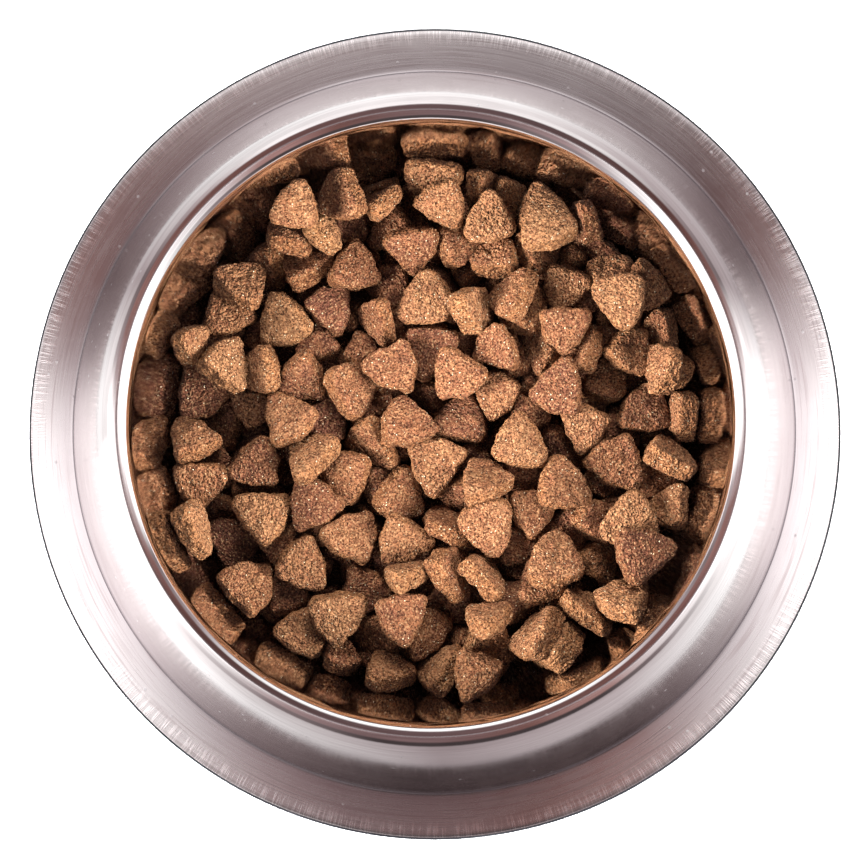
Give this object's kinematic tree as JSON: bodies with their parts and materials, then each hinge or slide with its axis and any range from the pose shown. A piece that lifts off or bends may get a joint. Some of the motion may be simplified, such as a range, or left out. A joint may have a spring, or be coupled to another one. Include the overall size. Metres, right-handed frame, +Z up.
{
  "type": "pet food bowl filled with kibble",
  "caption": "Round stainless steel pet food bowl with a rolled rim, a flared foot and a rubber base ring, filled with dry triangular kibble.",
  "frame": {"origin": "centre of the base ring's underside, on the surface that the bowl stands on", "axes": "+Z up, out of the bowl; +Y towards the top edge of the picture; +X to its right"},
  "size_m": [0.216, 0.216, 0.0584],
  "materials": {
    "steel": "polished skirt and rim, satin foot with circular brushing",
    "rubber": "matt black",
    "kibble": "baked, dry, sandy grain",
    "packed_kibble": "baked, dry, sandy grain"
  },
  "bodies": {
    "root": {"bowl_shell": "steel", "base_ring": "rubber", "kibble_bed": "packed_kibble", "kibble_01": "kibble", "kibble_02": "kibble", "kibble_03": "kibble", "kibble_04": "kibble", "kibble_05": "kibble", "kibble_06": "kibble", "kibble_07": "kibble", "kibble_08": "kibble", "kibble_09": "kibble", "kibble_10": "kibble", "kibble_11": "kibble", "kibble_12": "kibble", "kibble_13": "kibble", "kibble_14": "kibble", "kibble_15": "kibble", "kibble_16": "kibble", "kibble_17": "kibble", "kibble_18": "kibble", "kibble_19": "kibble", "kibble_20": "kibble", "kibble_21": "kibble", "kibble_22": "kibble", "kibble_23": "kibble", "kibble_24": "kibble", "kibble_25": "kibble", "kibble_26": "kibble", "kibble_27": "kibble", "kibble_28": "kibble", "kibble_29": "kibble", "kibble_30": "kibble", "kibble_31": "kibble", "kibble_32": "kibble", "kibble_33": "kibble", "kibble_34": "kibble", "kibble_35": "kibble", "kibble_36": "kibble", "kibble_37": "kibble", "kibble_38": "kibble", "kibble_39": "kibble", "kibble_40": "kibble", "kibble_41": "kibble", "kibble_42": "kibble", "kibble_43": "kibble", "kibble_44": "kibble", "kibble_45": "kibble", "kibble_46": "kibble", "kibble_47": "kibble", "kibble_48": "kibble", "kibble_49": "kibble", "kibble_50": "kibble", "kibble_51": "kibble", "kibble_52": "kibble", "kibble_53": "kibble", "kibble_54": "kibble"}
  },
  "joints": []
}
